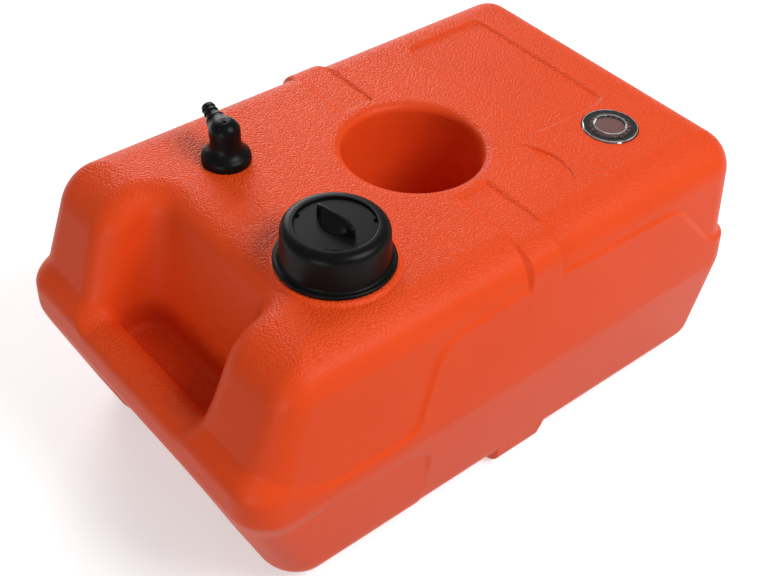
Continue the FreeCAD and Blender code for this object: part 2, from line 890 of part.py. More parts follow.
def gauge_bezel():
    _, _, z0 = gauge_levels()
    z1 = z0 + bezel_thickness
    outer = gauge_radius - lens_wall - fit_gap
    return turned([(bezel_inner_radius, z0, 0), (outer, z0, 0), (outer, z1, 0), (bezel_inner_radius, z1, bezel_round)],
                  gauge_x, gauge_y)


def gauge_lens():
    """Clear cover: a shallow cap over the bezel with a low ring round the window."""
    _, _, z0 = gauge_levels()
    top = height + lens_rise
    skirt = gauge_radius - lens_wall
    crest = lens_ring_width / 4
    ring_out = lens_ring_radius
    ring_in = lens_ring_radius - lens_ring_width
    return turned([
        (skirt, z0, 0),
        (gauge_radius, z0, 0),
        (gauge_radius, top, lens_round),
        (ring_out, top, 0),
        (ring_out - crest, top + lens_ring_rise, 0),
        (ring_in + crest, top + lens_ring_rise, 0),
        (ring_in, top, 0),
        (0, top, 0),
        (0, top - lens_wall, 0),
        (skirt, top - lens_wall, 0),
    ], gauge_x, gauge_y)


def gauge_dial():
    foot = height - dial_depth
    return disc(dial_radius, foot, foot + dial_thickness, gauge_x, gauge_y)


def strip_top():
    return height - gauge_barrel_depth - strip_end_gap


def strip_bottom():
    return foot_height + foot_thickness + strip_end_gap


def spiral_strip():
    """Flat strip twisted about its length, with a shaft and thrust collar above and a pivot pin below.

    It turns the dial as the float carries the slotted follower up it.
    """
    top = strip_top()
    bottom = strip_bottom()
    sections = []
    for i in range(strip_sections):
        share = i / (strip_sections - 1)
        z = bottom + (top - bottom) * share
        w = strip_width / 2
        t = strip_thickness / 2
        blade = Part.makePolygon([at(-w, -t, z), at(w, -t, z), at(w, t, z), at(-w, t, z), at(-w, -t, z)])
        blade.rotate(V(0, 0, 0), UP, strip_angle(z))
        sections.append(blade)
    strip = Part.makeLoft(sections, True, False)
    plate = height - gauge_barrel_depth + gauge_end_plate + fit_gap
    shaft = disc(shaft_radius, top - weld_overlap, height - dial_depth, 0, 0)
    collar = disc(shaft_collar_radius, plate, plate + shaft_collar_height, 0, 0)
    pin = disc(pin_radius, foot_height + weld_overlap, bottom + weld_overlap, 0, 0)
    strip = strip.fuse(shaft).fuse(collar).fuse(pin)
    strip.translate(at(gauge_x, gauge_y, 0))
    return strip


def strip_angle(z):
    """Turn of the strip in degrees at height z: none where the follower rests."""
    return strip_twist * (z - follower_height()) / (strip_top() - strip_bottom())


def float_foot():
    return foot_height + foot_thickness + float_foot_gap


def follower_height():
    return float_foot() + float_height


def guide_rods():
    low = foot_height + foot_thickness - rod_foot_seat
    high = height - gauge_barrel_depth + rod_plate_seat
    return Part.makeCompound([disc(rod_radius, low, high, x, gauge_y) for x in rod_places()])


def guide_foot():
    top = foot_height + foot_thickness
    plate = disc(foot_radius, foot_height, top, gauge_x, gauge_y)
    plate = drilled(plate, pin_radius + turning_fit, foot_height - wall, gauge_x, gauge_y)
    for x in rod_places():
        plate = drilled(plate, rod_radius, top - rod_foot_seat, x, gauge_y)
    return plate


def gauge_float():
    z0 = float_foot()
    z1 = z0 + float_height
    body = turned([(float_bore, z0, 0), (float_radius, z0, float_round), (float_radius, z1, float_round),
                   (float_bore, z1, 0)], gauge_x, gauge_y)
    for x in rod_places():
        body = drilled(body, rod_room, z0 - wall, x, gauge_y)
    return body


def float_follower():
    """Slotted plate on the float: its slot rides on the strip."""
    z0 = follower_height()
    plate = disc(follower_radius, z0, z0 + follower_thickness, 0, 0)
    slot_length = strip_width + follower_slot_gap
    slot_width = strip_thickness + follower_slot_gap
    slot = Part.makeBox(slot_length, slot_width, 2 * follower_thickness,
                        at(-slot_length / 2, -slot_width / 2, z0 - follower_thickness / 2))
    slot.rotate(V(0, 0, 0), UP, strip_angle(z0 + follower_thickness / 2))
    plate = plate.cut(slot)
    plate.translate(at(gauge_x, gauge_y, 0))
    return plate


# ---------------------------------------------------------------- the set of pieces
PIECES = {
    "tank_shell": tank_shell,
    "filler_cap_shell": filler_cap_shell,
    "filler_cap_lid": filler_cap_lid,
    "filler_cap_gasket": filler_cap_gasket,
    "vent_knob": vent_knob,
    "vent_stem": vent_stem,
    "vent_seal": vent_seal,
    "vent_retainer": vent_retainer,
    "pickup_elbow": pickup_elbow,
    "pickup_hose_tail": hose_tail,
    "pickup_collar": pickup_collar,
    "pickup_seal": pickup_seal,
    "pickup_dip_tube": dip_tube,
    "pickup_strainer": dip_strainer,
    "gauge_lens": gauge_lens,
    "gauge_bezel": gauge_bezel,
    "gauge_gasket": gauge_gasket,
    "gauge_housing": gauge_housing,
    "gauge_dial": gauge_dial,
    "gauge_spiral_strip": spiral_strip,
    "gauge_guide_rods": guide_rods,
    "gauge_guide_foot": guide_foot,
    "gauge_float": gauge_float,
    "gauge_float_follower": float_follower,
}

os.makedirs("parts", exist_ok=True)
for name, make in PIECES.items():
    make().exportStep("parts/" + name + ".step")
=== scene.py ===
"""Looks of the 22 litre outboard fuel tank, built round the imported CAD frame.

The tank, the vent knob and the pick-up's bell are distance fields in millimetres, turned into meshes.
The neck and the gauge's cover are turned rings. Every other piece keeps its CAD shape and gets a material.
"""

import math

import bpy
import numpy as np
from mathutils import Matrix, Vector


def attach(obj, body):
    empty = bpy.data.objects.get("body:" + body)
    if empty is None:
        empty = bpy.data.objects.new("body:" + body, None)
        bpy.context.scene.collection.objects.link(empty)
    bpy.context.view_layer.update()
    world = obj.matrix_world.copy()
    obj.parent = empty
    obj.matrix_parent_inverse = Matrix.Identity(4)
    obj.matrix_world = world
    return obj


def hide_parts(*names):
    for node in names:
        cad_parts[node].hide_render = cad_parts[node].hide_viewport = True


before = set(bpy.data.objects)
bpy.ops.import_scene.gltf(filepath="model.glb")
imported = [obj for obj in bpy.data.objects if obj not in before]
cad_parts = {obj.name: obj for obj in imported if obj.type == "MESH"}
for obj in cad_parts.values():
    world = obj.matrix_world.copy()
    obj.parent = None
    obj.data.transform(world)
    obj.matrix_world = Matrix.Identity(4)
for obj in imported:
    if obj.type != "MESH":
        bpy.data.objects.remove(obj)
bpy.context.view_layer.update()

MM = 0.001

# ---------------------------------------------------------------- sizes of the moulded tank, in millimetres
LENGTH = 477.0
WIDTH = 300.0
HEIGHT = 228.0
PARTING = 112.0

# setbacks of the walls from the overall length and width: at the foot, at the parting plane, at the top
HANDLE_WALL = (43.8, 0.0, 40.0)
GAUGE_WALL = (9.2, 3.5, 10.6)
SIDE_WALL = (14.8, 2.6, 8.4)
HANDLE_BELT = (40.5, 0.0, 0.6)
GAUGE_BELT = (4.0, 0.0, 3.6)
SIDE_BELT = (16.4, 0.0, 6.6)
SIDE_HOOP = (16.4, 0.3, 6.2)
CREASE_SOFTNESS = 3.0

HANDLE_CORNER = (27.5, 28.0, 21.0)
GAUGE_CORNER = (20.0, 26.5, 27.5)
TOP_ROUND = 31.0
FOOT_ROUND = 30.0

WELL_X = 14.8
WELL_RADIUS = 53.0
WELL_RIM = 7.0
WEB_HALF = 2.0
WEB_FILLET = 5.0

HOOP_HALF = 14.9
HOOP_SINK = 2.0
HOOP_ROUND = 21.5
HOOP_EDGE = 2.2
HOOP_GAP = 12.5
PAD_X = (0.5, 49.0)
PAD_ROUND = 11.0
PAD_EDGE = 2.6

BAR_WIDTH = 30.0
BAR_TOP = 140.0
BAR_BOTTOM = 85.0
BAR_BACK_ROUND = 14.4
POCKET_HALF = 62.5
POCKET_BACK = -176.0
POCKET_FLARE = 8.0
POCKET_LEAN = 15.0
POCKET_CREASE = 20.0
LOWER_FLARE = 5.0
LOWER_LEAN = 10.0
POCKET_LIP = 20.0
BAR_LIP = 13.0
BAR_UNDER_LIP = 19.0
LOWER_LIP = 12.0
POCKET_FILLET = 9.0
LIP_HEIGHTS = (50, 75, 100, 135, 165)

CAP = (-111.7, -67.9)
CAP_BOSS_RADIUS = 43.5
CAP_BOSS_RISE = 2.0
NECK_RADIUS = 31.0
NECK_BORE = 25.5
NECK_TOP = 251.0
PICKUP = (-105.3, 67.0)
PICKUP_BOSS_RADIUS = 15.5
PICKUP_BOSS_RISE = 1.5
GAUGE = (151.5, -71.0)
GAUGE_SEAT_RADIUS = 21.7
GAUGE_SEAT_DEPTH = 3.4
GAUGE_HOLE = 16.3

# fittings
CAP_LID = 259.4
KNOB_BASE = 261.05
KNOB_HALF = 17.4
KNOB_TOP = 7.8
KNOB_TURN = 8.0
KNOB_GAP = 0.35
KNOB_FALL = (0.9, 3.4)
KNOB_EDGE = 1.7
KNOB_SPREAD = 6.8
KNOB_SPREAD_REACH = 13.0
KNOB_CREST_ROUND = 1.5
KNOB_END_ROUND = 3.2
SEAL_RADIUS = 7.6
THREAD_TURNS = 3
THREAD_PITCH = 5.2
THREAD_DEPTH = 1.5
NECK_ROW = 0.65
BELL_BASE = 228.2
BELL_FOOT = (18.4, 5.4, 2.4)
BELL_BODY = (12.0, 10.7, 34.2, 8.2)
BELL_FILLET = 11.0
BELL_HOLLOWS = ((16.1, 5.4), (9.0, 6.0), (4.9, 17.5))
BELL_MARK = (-1.6, -1.8, 1.5)
TAIL_TILT = 15.0
TAIL_TURN = 82.0
TAIL_HEIGHT = 22.0
TAIL_BOSS = (6.0, 15.6, 9.6, 7.0)
RIB_COUNT = 18
RIB_HALF = 0.9
BAR_FACES = ((0, 1, 3, 2), (2, 3, 5, 4), (4, 5, 7, 6), (6, 7, 1, 0), (0, 2, 4, 6), (7, 5, 3, 1))

LABEL = (98.4, 176.4, -42.9, 104.4)
LABEL_CORNER = 9.0
LABEL_DEPTH = 2.0
LABEL_EDGE = 2.0
BADGE = (82.6, 100.0, -101.0, -50.5)
BADGE_DEPTH = 1.7
BADGE_EDGE = 1.6

# camera: where it stands and how it is turned
CAMERA_PLACE = (-518.7, -572.1, 792.1)
CAMERA_HEADING = 48.138
CAMERA_DIP = 42.138
CAMERA_ROLL = -3.171
CAMERA_LENS = 60.80

WORLD_LEVEL = 0.33
FLOOR_LIFT = 0.50
LIGHT_TARGET = (0, 0, 0.1)
LIGHTS = (
    ("key", (0.38, -1.1, 1.4), 0.8, 22),
    ("back", (0.7, 1.8, 1.0), 1.2, 28),
    ("end", (-1.8, -0.8, 0.3), 0.6, 8),
)


# ---------------------------------------------------------------- distance fields
def soft_step(distance, half):
    """1 well inside, 0 well outside, and an S between them over the edge."""
    t = np.clip(0.5 - distance / (2 * half), 0, 1)
    return t * t * (3 - 2 * t)


def cut_round(a, b, r):
    """Both fields at once, with an edge rounded to radius r."""
    return np.minimum(np.maximum(a, b) + r, 0) + np.hypot(np.maximum(a + r, 0), np.maximum(b + r, 0)) - r


def join_round(a, b, r):
    """Either field, with a hollow of radius r where they meet."""
    return np.maximum(np.minimum(a, b) - r, 0) - np.hypot(np.maximum(r - a, 0), np.maximum(r - b, 0)) + r


def rounded_rect(x, y, x0, x1, half_y, r):
    qx = np.abs(x - (x0 + x1) / 2) - (x1 - x0) / 2 + r
    qy = np.abs(y) - half_y + r
    return np.minimum(np.maximum(qx, qy), 0) + np.hypot(np.maximum(qx, 0), np.maximum(qy, 0)) - r


def rounded_outline(points, turn=math.radians(6)):
    """Closed outline through (u, v, radius) points, with each corner as an arc."""
    path = []
    for i, (u, v, radius) in enumerate(points):
        corner = np.array((u, v))
        a = np.array(points[i - 1][:2]) - corner
        b = np.array(points[(i + 1) % len(points)][:2]) - corner
        a = a / np.linalg.norm(a)
        b = b / np.linalg.norm(b)
        if radius == 0:
            path.append(corner)
            continue
        half = math.acos(float(np.clip(a @ b, -1, 1))) / 2
        middle = (a + b) / np.linalg.norm(a + b)
        centre = corner + middle * radius / math.sin(half)
        start = corner + a * radius / math.tan(half) - centre
        end = corner + b * radius / math.tan(half) - centre
        sweep = math.pi - 2 * half
        count = max(2, round(sweep / turn))
        for k in range(count + 1):
            s = k / count
            arc = start * math.sin((1 - s) * sweep) + end * math.sin(s * sweep)
            path.append(centre + arc / math.sin(sweep))
    return np.array(path)


class OutlineField:
    """Signed distance to a closed outline in a plane, kept on a grid and read between its points."""

    def __init__(self, outline, low, high, pitch=1.0):
        self.low = low
        self.pitch = pitch
        u = np.arange(low[0], high[0] + pitch, pitch)
        v = np.arange(low[1], high[1] + pitch, pitch)
        gu, gv = np.meshgrid(u, v, indexing="ij")
        nearest = np.full(gu.shape, 1e9)
        inside = np.zeros(gu.shape, bool)
        for a, b in zip(outline, np.roll(outline, -1, axis=0)):
            du, dv = b - a
            t = np.clip(((gu - a[0]) * du + (gv - a[1]) * dv) / (du * du + dv * dv), 0, 1)
            nearest = np.minimum(nearest, np.hypot(gu - a[0] - t * du, gv - a[1] - t * dv))
            if dv != 0:
                crosses = ((a[1] > gv) != (b[1] > gv)) & (gu < a[0] + (gv - a[1]) * du / dv)
                inside ^= crosses
        self.values = np.where(inside, -nearest, nearest)

    def __call__(self, u, v):
        n, m = self.values.shape
        fu = np.clip((u - self.low[0]) / self.pitch, 0, n - 1.001)
        fv = np.clip((v - self.low[1]) / self.pitch, 0, m - 1.001)
        i = fu.astype(int)
        j = fv.astype(int)
        s = fu - i
        t = fv - j
        g = self.values
        below = g[i, j] * (1 - s) + g[i + 1, j] * s
        above = g[i, j + 1] * (1 - s) + g[i + 1, j + 1] * s
        return below * (1 - t) + above * t


def through(z, setbacks):
    """Setback at height z of a wall that leans from foot to parting plane and from there to the top."""
    foot, parting, top = setbacks
    above = (top - parting) / (HEIGHT - PARTING)
    below = (foot - parting) / PARTING
    rise = z - PARTING
    bend = np.sqrt(rise * rise + CREASE_SOFTNESS ** 2) - CREASE_SOFTNESS
    return parting + (above - below) / 2 * rise + (above + below) / 2 * bend


def lean(z, setbacks):
    """Slope of such a wall at height z."""
    foot, parting, top = setbacks
    return np.where(z > PARTING, (top - parting) / (HEIGHT - PARTING), (foot - parting) / PARTING)


def mix(a, b, share):
    return a + (b - a) * share


BELT_OUTLINE = rounded_outline([
    (-300, 148, 0),
    (-222, 141, 40),
    (-176, 122, 40),
    (-102, 121, 16),
    (-80, 192, 26),
    (-20, 197, 0),
    (156, 192, 30),
    (204, 140, 34),
    (300, 124, 0),
    (300, -60, 0),
    (-76, -60, 0),
    (-84, 96, 24),
    (-300, 104, 0),
])
belt_field = OutlineField(BELT_OUTLINE, (-250, -10), (250, 240))


def belt_share(x, z):
    toward_handle = np.clip((-x - 176) / 50, 0, 1)
    return soft_step(belt_field(x, z), 2.6 + 9.0 * toward_handle)


def hoop_share(x, y):
    across = soft_step(np.abs(x - WELL_X) - HOOP_HALF, HOOP_EDGE)
    from_well = np.hypot(x - WELL_X, y) - WELL_RADIUS
    return across * soft_step(HOOP_GAP - from_well, HOOP_EDGE)


def pad_share(x):
    """Where the foot of the hoop fills the rounded lower edge."""
    middle = (PAD_X[0] + PAD_X[1]) / 2
    half = (PAD_X[1] - PAD_X[0]) / 2
    return soft_step(np.abs(x - middle) - half, PAD_EDGE)


def outer_form(x, y, z):
    """The tank before its well and pockets are taken out."""
    belt = belt_share(x, z)
    hoop = hoop_share(x, y)
    handle = mix(through(z, HANDLE_WALL), through(z, HANDLE_BELT), belt)
    gauge = mix(through(z, GAUGE_WALL), through(z, GAUGE_BELT), belt)
    side = mix(through(z, SIDE_WALL), through(z, SIDE_BELT), belt)
    side = np.minimum(side, mix(side, through(z, SIDE_HOOP), hoop * (z > PARTING)))
    corners = [np.interp(z, (0, PARTING, HEIGHT), radii) for radii in (HANDLE_CORNER, GAUGE_CORNER)]
    corner = np.where(x < 0, corners[0], corners[1])
    walls = rounded_rect(x, y, -LENGTH / 2 + handle, LENGTH / 2 - gauge, WIDTH / 2 - side, corner)
    end_lean = np.where(x < 0, lean(z, HANDLE_WALL), lean(z, GAUGE_WALL))
    past_end = np.clip((np.abs(x) - 190) / 20, 0, 1)
    slope = mix(lean(z, SIDE_WALL), end_lean, past_end * np.clip((150 - np.abs(y)) / 40, 0, 1))
    walls = walls / np.sqrt(1 + slope * slope)
    roof = z - HEIGHT + HOOP_SINK * hoop
    roof = roof + LABEL_DEPTH * soft_step(label_field(x, y), LABEL_EDGE)
    roof = roof + BADGE_DEPTH * soft_step(badge_field(x, y), BADGE_EDGE)
    block = cut_round(walls, roof, mix(TOP_ROUND, HOOP_ROUND, hoop))
    return cut_round(block, -z, mix(FOOT_ROUND, PAD_ROUND, pad_share(x)))


def hand_pockets(x, y, z):
    """The space for the hand above and below the web, round the carrying bar."""
    above = np.clip((z - PARTING) / (HEIGHT - PARTING), 0, 1.2)
    below = np.clip((PARTING - z) / PARTING, 0, 1.2)
    back = POCKET_BACK + POCKET_LEAN * above + LOWER_LEAN * below
    half = POCKET_HALF + POCKET_FLARE * above + LOWER_FLARE * below
    plan = rounded_rect(x, y, np.full_like(x, -400), back, half, POCKET_CREASE)
    spaces = cut_round(plan, WEB_HALF - np.abs(z - PARTING), WEB_FILLET)
    middle = (BAR_TOP + BAR_BOTTOM) / 2
    half_bar = (BAR_TOP - BAR_BOTTOM) / 2
    bar = cut_round(x + LENGTH / 2 - BAR_WIDTH, np.abs(z - middle) - half_bar, BAR_BACK_ROUND)
    return cut_round(spaces, -bar, POCKET_FILLET)


def wells(x, y, z):
    round_wall = np.hypot(x - WELL_X, y) - WELL_RADIUS
    return cut_round(round_wall, WEB_HALF - np.abs(z - PARTING), WEB_FILLET)


def tank_field(x, y, z):
    """Signed distance to the moulded tank."""
    form = outer_form(x, y, z)
    lip = np.interp(z, LIP_HEIGHTS, (LOWER_LIP, BAR_UNDER_LIP, BAR_UNDER_LIP, BAR_LIP, POCKET_LIP))
    form = cut_round(form, -hand_pockets(x, y, z), lip)
    form = cut_round(form, -wells(x, y, z), WELL_RIM)
    from_cap = np.hypot(x - CAP[0], y - CAP[1])
    boss = cut_round(from_cap - CAP_BOSS_RADIUS, z - HEIGHT - CAP_BOSS_RISE, 1.4)
    form = join_round(form, np.maximum(boss, HEIGHT - 20 - z), 2.5)
    from_pickup = np.hypot(x - PICKUP[0], y - PICKUP[1])
    boss = cut_round(from_pickup - PICKUP_BOSS_RADIUS, z - HEIGHT - PICKUP_BOSS_RISE, 0.8)
    form = join_round(form, np.maximum(boss, HEIGHT - 20 - z), 1.5)
    from_gauge = np.hypot(x - GAUGE[0], y - GAUGE[1])
    form = cut_round(form, -np.maximum(from_gauge - GAUGE_SEAT_RADIUS, HEIGHT - GAUGE_SEAT_DEPTH - z), 0.6)
    form = np.maximum(form, -np.maximum(from_gauge - GAUGE_HOLE, HEIGHT - 20 - z))
    return np.maximum(form, -np.maximum(from_cap - NECK_BORE, HEIGHT - 30 - z))


label_field = OutlineField(rounded_outline([
    (LABEL[0], LABEL[2], LABEL_CORNER), (LABEL[1], LABEL[2], LABEL_CORNER),
    (LABEL[1], LABEL[3], LABEL_CORNER), (LABEL[0], LABEL[3], LABEL_CORNER)]), (-250, -160), (250, 160))
badge_field = OutlineField(rounded_outline([
    (BADGE[0], BADGE[2], 0.5), (BADGE[1] + 7, (BADGE[2] + BADGE[3]) / 2, 40), (BADGE[0], BADGE[3], 0.5)]),
    (-250, -160), (250, 160))


# ---------------------------------------------------------------- field to mesh
def surface_net(field, low, high, pitch, coarse=4):
    """Quads on the zero level of a field, by surface nets, with only the cells near it worked out."""
    counts = [int(math.ceil((h - l) / pitch / coarse)) * coarse for l, h in zip(low, high)]
    axes = [l + pitch * np.arange(n) for l, n in zip(low, counts)]
    centres = [a.reshape(-1, coarse).mean(axis=1) for a in axes]
    grid = np.meshgrid(*centres, indexing="ij")
    rough = field(*[g.ravel() for g in grid]).reshape(grid[0].shape)
    near = np.abs(rough) < pitch * coarse * 1.6
    for axis in range(3):
        near = near | np.roll(near, 1, axis) | np.roll(near, -1, axis)
    values = rough
    for axis in range(3):
        values = values.repeat(coarse, axis)
        near = near.repeat(coarse, axis)
    values = values.astype(np.float64)
    i, j, k = np.nonzero(near)
    values[i, j, k] = field(axes[0][i], axes[1][j], axes[2][k])
    inside = values < 0
    corners = [(a, b, c) for a in (0, 1) for b in (0, 1) for c in (0, 1)]
    total = sum(inside[a:counts[0] - 1 + a, b:counts[1] - 1 + b, c:counts[2] - 1 + c].astype(np.uint8)
                for a, b, c in corners)
    active = (total > 0) & (total < 8)
    cells = np.argwhere(active)
    index = np.full(active.shape, -1, np.int64)
    index[active] = np.arange(len(cells))
    place = np.zeros((len(cells), 3))
    hits = np.zeros(len(cells))
    for axis in range(3):
        for a in corners:
            if a[axis]:
                continue
            b = tuple(v + (n == axis) for n, v in enumerate(a))
            va = values[tuple((cells + a).T)]
            vb = values[tuple((cells + b).T)]
            crossing = (va < 0) != (vb < 0)
            t = np.where(crossing, va / np.where(crossing, va - vb, 1), 0)
            point = np.array(a, float) + np.outer(t, np.eye(3)[axis])
            place[crossing] += point[crossing]
            hits[crossing] += 1
    points = np.array(low) + pitch * (cells + place / hits[:, None])
    quads = []
    for axis in range(3):
        u, w = (axis + 1) % 3, (axis + 2) % 3
        first = [slice(1, n - 1) for n in counts]
        first[axis] = slice(0, counts[axis] - 1)
        second = list(first)
        second[axis] = slice(1, counts[axis])
        s0 = inside[tuple(first)]
        edge = s0 != inside[tuple(second)]
        start = np.argwhere(edge) + [0 if n == axis else 1 for n in range(3)]
        around = []
        for du, dw in ((0, 0), (-1, 0), (-1, -1), (0, -1)):
            shift = np.zeros(3, int)
            shift[u] = du
            shift[w] = dw
            around.append(index[tuple((start + shift).T)])
        quad = np.stack(around, axis=1)
        flip = ~s0[edge]
        quad[flip] = quad[flip][:, ::-1]
        quads.append(quad)
    quads = np.concatenate(quads)
    return points, quads[(quads >= 0).all(axis=1)]


def gradient(field, points, reach=0.4):
    columns = []
    for axis in range(3):
        offset = np.zeros(3)
        offset[axis] = reach
        columns.append((field(*(points + offset).T) - field(*(points - offset).T)) / (2 * reach))
    return np.stack(columns, axis=1)


def settle(field, points, pitch, rounds=3):
    """Moves points onto the zero level along the field's slope."""
    for _ in range(rounds):
        slope = gradient(field, points)
        size = np.maximum((slope ** 2).sum(axis=1), 0.2)
        step = (field(*points.T) / size)[:, None] * slope
        length = np.linalg.norm(step, axis=1, keepdims=True)
        points = points - step * np.minimum(1, pitch / np.maximum(length, 1e-9))
    return points


def split_quads(points, quads, wanted):
    """The wanted quads become four each, and their neighbours take the new points into their outlines."""
    chosen = quads[wanted]
    others = quads[~wanted]
    pairs = np.sort(np.stack([chosen, np.roll(chosen, -1, axis=1)], axis=2).reshape(-1, 2), axis=1)
    edges, which = np.unique(pairs, axis=0, return_inverse=True)
    middle = len(points) + which.reshape(-1, 4)
    centre = len(points) + len(edges) + np.arange(len(chosen))
    fresh = [np.stack([chosen[:, k], middle[:, k], centre, middle[:, k - 1]], axis=1) for k in range(4)]
    codes = edges[:, 0] * len(points) + edges[:, 1]
    sides = np.sort(np.stack([others, np.roll(others, -1, axis=1)], axis=2), axis=2)
    wants = sides[..., 0] * len(points) + sides[..., 1]
    spot = np.minimum(np.searchsorted(codes, wants), len(codes) - 1)
    split = codes[spot] == wants
    touched = split.any(axis=1)
    wide = []
    for quad, spots, cut in zip(others[touched], spot[touched], split[touched]):
        loop = []
        for k in range(4):
            loop.append(quad[k])
            if cut[k]:
                loop.append(len(points) + spots[k])
        wide.append(loop)
    points = np.concatenate([points, points[edges].mean(axis=1), points[chosen].mean(axis=1)])
    return points, np.concatenate([others[~touched]] + fresh), wide


def mesh_object(name, points, faces, normals=None):
    """A smooth object in the scene from points in millimetres and lists of their indices."""
    mesh = bpy.data.meshes.new(name)
    counts = np.array([len(face) for face in faces])
    loops = np.concatenate([np.asarray(face) for face in faces])
    mesh.vertices.add(len(points))
    mesh.vertices.foreach_set("co", (np.asarray(points) * MM).ravel())
    mesh.loops.add(len(loops))
    mesh.loops.foreach_set("vertex_index", loops)
    mesh.polygons.add(len(counts))
    mesh.polygons.foreach_set("loop_start", np.cumsum(counts) - counts)
    mesh.update()
    mesh.validate()
    mesh.polygons.foreach_set("use_smooth", np.ones(len(mesh.polygons), bool))
    if normals is None:
        mesh.set_sharp_from_angle(angle=math.radians(40))
    else:
        mesh.normals_split_custom_set_from_vertices(normals)
    thing = bpy.data.objects.new(name, mesh)
    bpy.context.scene.collection.objects.link(thing)
    return thing


def field_mesh(name, field, low, high, pitch, zones=()):
    """Mesh on the zero level, with the quads of each zone in turn split to half their size."""
    points, quads = surface_net(field, low, high, pitch)
    points = settle(field, points, pitch)
    wide = []
    for zone in zones:
        points, quads, more = split_quads(points, quads, zone(*points[quads].mean(axis=1).T))
        wide += more
    if zones:
        points = settle(field, points, pitch / 2)
    normals = gradient(field, points)
    normals /= np.maximum(np.linalg.norm(normals, axis=1, keepdims=True), 1e-9)
    return mesh_object(name, points, list(quads) + wide, normals)


def lathe(name, profile, x, y, steps=96, radius_shift=None):
    """Closed ring of revolution about the vertical through x, y, from (radius, z) points."""
    angles = np.linspace(0, 2 * math.pi, steps, endpoint=False)
    rows = []
    for radius, z in profile:
        reach = radius + (radius_shift(angles, radius, z) if radius_shift else 0 * angles)
        ring = [x + reach * np.cos(angles), y + reach * np.sin(angles), z + 0 * angles]
        rows.append(np.stack(ring, axis=1))
    points = np.concatenate(rows)
    faces = []
    for i in range(len(profile)):
        j = (i + 1) % len(profile)
        for k in range(steps):
            n = (k + 1) % steps
            faces.append((i * steps + k, i * steps + n, j * steps + n, j * steps + k))
    return mesh_object(name, points, faces)


# ---------------------------------------------------------------- materials
def new_material(name):
    material = bpy.data.materials.new(name)
    material.use_nodes = True
    return material, material.node_tree.nodes, material.node_tree.links


def noise(nodes, links, scale, detail=2.0):
    place = nodes.new("ShaderNodeTexCoord")
    texture = nodes.new("ShaderNodeTexNoise")
    texture.inputs["Scale"].default_value = scale
    texture.inputs["Detail"].default_value = detail
    links.new(place.outputs["Object"], texture.inputs["Vector"])
    return texture


def tank_plastic():
    """Orange plastic: a coarse moulded grain on what faces up, fading out down the slopes."""
    material, nodes, links = new_material("tank_plastic_look")
    shader = nodes["Principled BSDF"]
    tint = nodes.new("ShaderNodeValToRGB")
    tint.color_ramp.elements[0].color = (0.71, 0.060, 0.008, 1)
    tint.color_ramp.elements[1].color = (0.78, 0.072, 0.012, 1)
    links.new(noise(nodes, links, 14).outputs["Fac"], tint.inputs["Fac"])
    links.new(tint.outputs["Color"], shader.inputs["Base Color"])
    shader.inputs["Roughness"].default_value = 0.42
    shader.inputs["Specular IOR Level"].default_value = 0.13
    shader.inputs["Subsurface Weight"].default_value = 0.10
    shader.inputs["Subsurface Radius"].default_value = (0.006, 0.0015, 0.0006)
    place = nodes.new("ShaderNodeTexCoord")
    up = nodes.new("ShaderNodeSeparateXYZ")
    links.new(place.outputs["Normal"], up.inputs["Vector"])
    share = nodes.new("ShaderNodeMapRange")
    share.interpolation_type = "SMOOTHSTEP"
    share.inputs["From Min"].default_value = 0.55
    share.inputs["From Max"].default_value = 0.97
    share.inputs["To Min"].default_value = 0.10
    share.inputs["To Max"].default_value = 1.0
    links.new(up.outputs["Z"], share.inputs["Value"])
    cells = nodes.new("ShaderNodeTexVoronoi")
    cells.feature = "SMOOTH_F1"
    cells.inputs["Scale"].default_value = 600
    cells.inputs["Smoothness"].default_value = 0.35
    links.new(place.outputs["Object"], cells.inputs["Vector"])
    height = nodes.new("ShaderNodeMath")
    height.operation = "MULTIPLY"
    links.new(cells.outputs["Distance"], height.inputs[0])
    links.new(share.outputs["Result"], height.inputs[1])
    bump = nodes.new("ShaderNodeBump")
    bump.invert = True
    bump.inputs["Strength"].default_value = 0.8
    bump.inputs["Distance"].default_value = 0.0010
    links.new(height.outputs["Value"], bump.inputs["Height"])
    links.new(bump.outputs["Normal"], shader.inputs["Normal"])
    return material


def black_plastic():
    """Satin black of the fittings, with a faint fine grain."""
    material, nodes, links = new_material("black_plastic_look")
    shader = nodes["Principled BSDF"]
    tint = nodes.new("ShaderNodeValToRGB")
    tint.color_ramp.elements[0].color = (0.003, 0.003, 0.003, 1)
    tint.color_ramp.elements[1].color = (0.005, 0.005, 0.005, 1)
    links.new(noise(nodes, links, 60).outputs["Fac"], tint.inputs["Fac"])
    links.new(tint.outputs["Color"], shader.inputs["Base Color"])
    shader.inputs["Roughness"].default_value = 0.34
    shader.inputs["Specular IOR Level"].default_value = 0.10
    bump = nodes.new("ShaderNodeBump")
    bump.inputs["Strength"].default_value = 0.12
    bump.inputs["Distance"].default_value = 0.0002
    links.new(noise(nodes, links, 900).outputs["Fac"], bump.inputs["Height"])
    links.new(bump.outputs["Normal"], shader.inputs["Normal"])
    return material


def plain_look(name, dark, light, roughness, metallic=0.0, scale=90):
    """Look whose colour drifts between a dark and a light one."""
    material, nodes, links = new_material(name)
    shader = nodes["Principled BSDF"]
    tint = nodes.new("ShaderNodeValToRGB")
    tint.color_ramp.elements[0].color = (*dark, 1)
    tint.color_ramp.elements[1].color = (*light, 1)
    links.new(noise(nodes, links, scale).outputs["Fac"], tint.inputs["Fac"])
    links.new(tint.outputs["Color"], shader.inputs["Base Color"])
    shader.inputs["Roughness"].default_value = roughness
    shader.inputs["Metallic"].default_value = metallic
    return material


